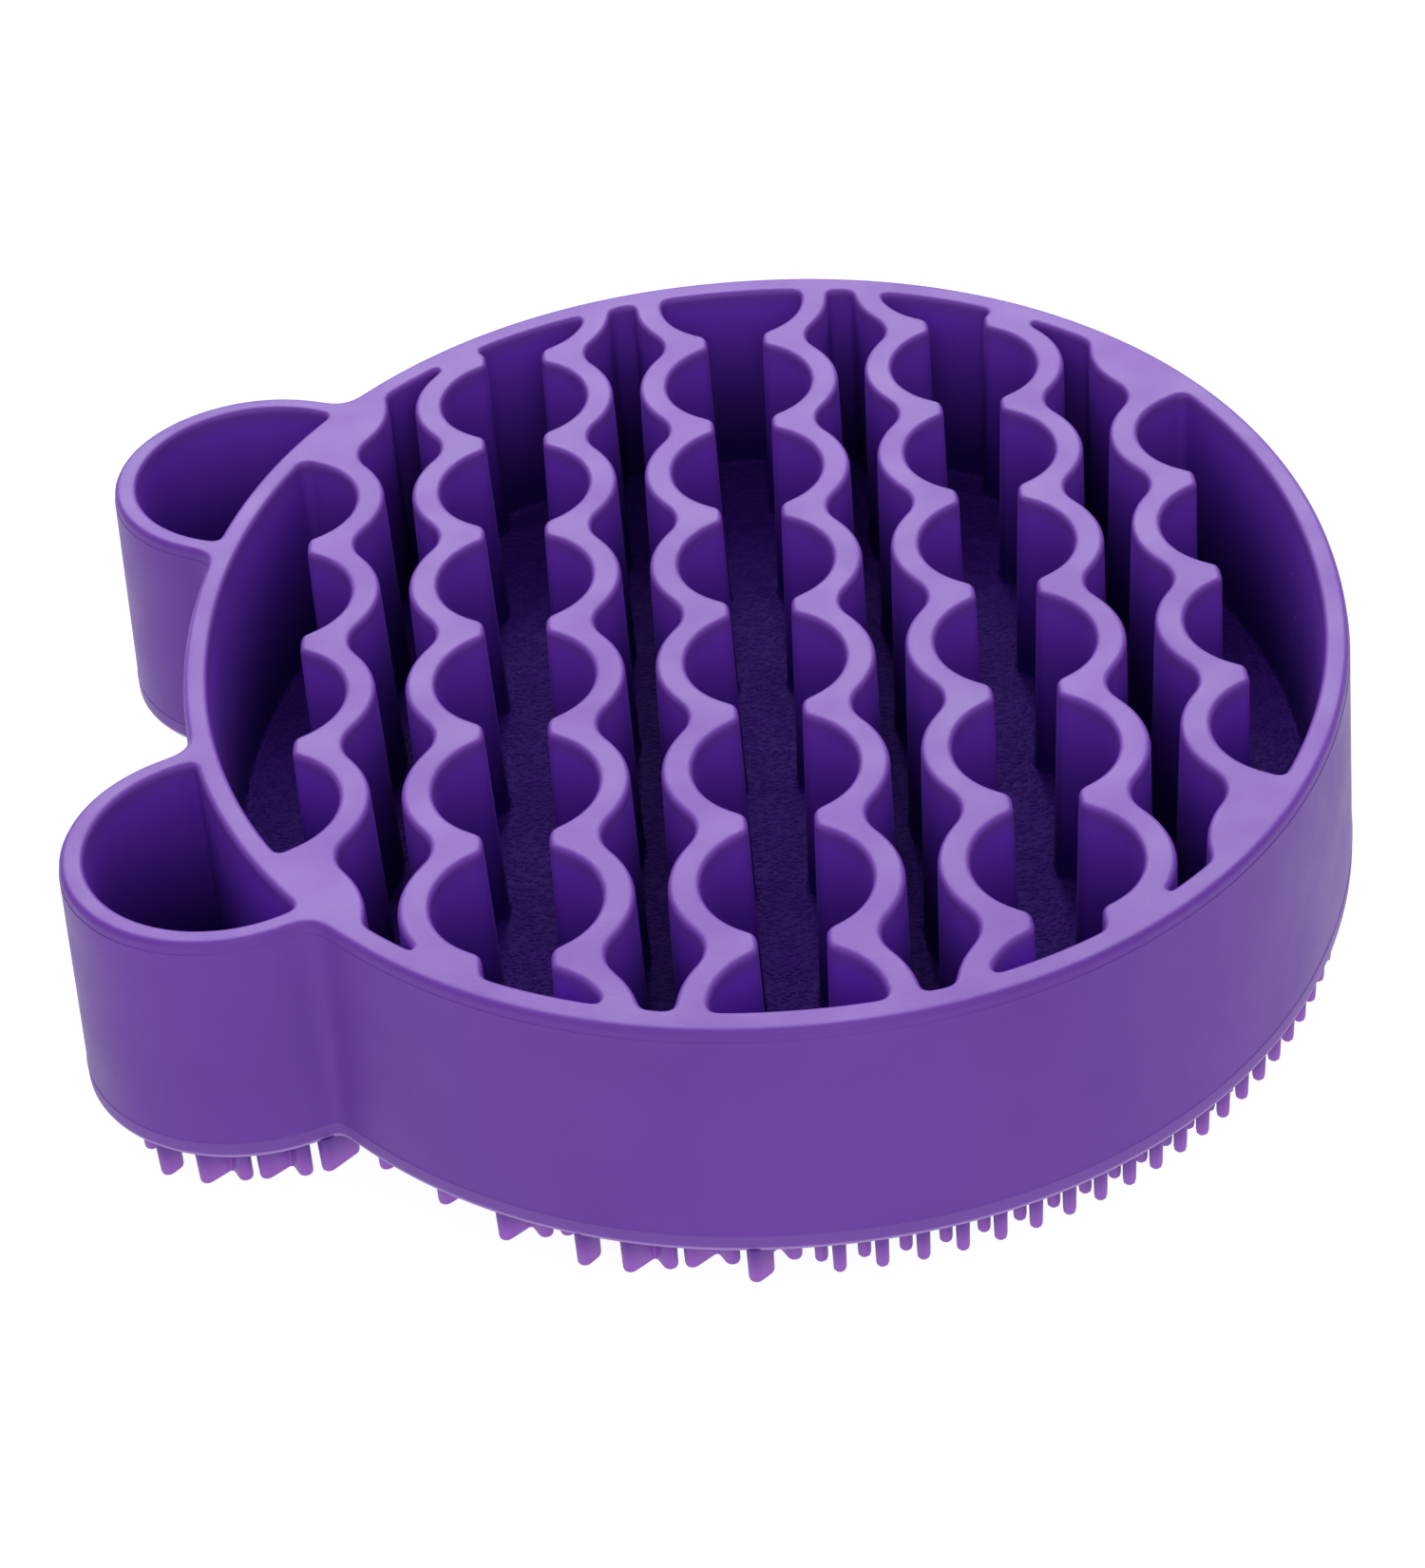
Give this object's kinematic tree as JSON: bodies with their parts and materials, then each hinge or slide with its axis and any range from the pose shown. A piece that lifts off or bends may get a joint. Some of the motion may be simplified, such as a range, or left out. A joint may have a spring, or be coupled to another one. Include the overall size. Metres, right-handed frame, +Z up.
{
  "type": "silicone brush cleaning pad and brush holder",
  "caption": "Soft purple silicone pad with two round ear cups, wavy dividers that hold upright brushes between them, and scrubbing fins and pins underneath.",
  "frame": {"origin": "middle of the bounding box at the level of the fin and pin tips that the pad stands on", "axes": "+X from the ear cups to the chin, +Y along the slots and dividers, +Z up out of the open slots"},
  "size_m": [0.1366, 0.1422, 0.0314],
  "materials": {
    "silicone": "satin, fine-grained moulded silicone"
  },
  "bodies": {
    "root": {"base_plate": "silicone", "head_wall": "silicone", "ear_cup_front": "silicone", "ear_cup_back": "silicone", "divider_1": "silicone", "divider_2": "silicone", "divider_3": "silicone", "divider_4": "silicone", "divider_5": "silicone", "divider_6": "silicone", "divider_7": "silicone", "divider_8": "silicone", "fin_mat_head": "silicone", "fin_mat_ear_front": "silicone", "fin_mat_ear_back": "silicone", "pin_mat": "silicone"}
  },
  "joints": []
}
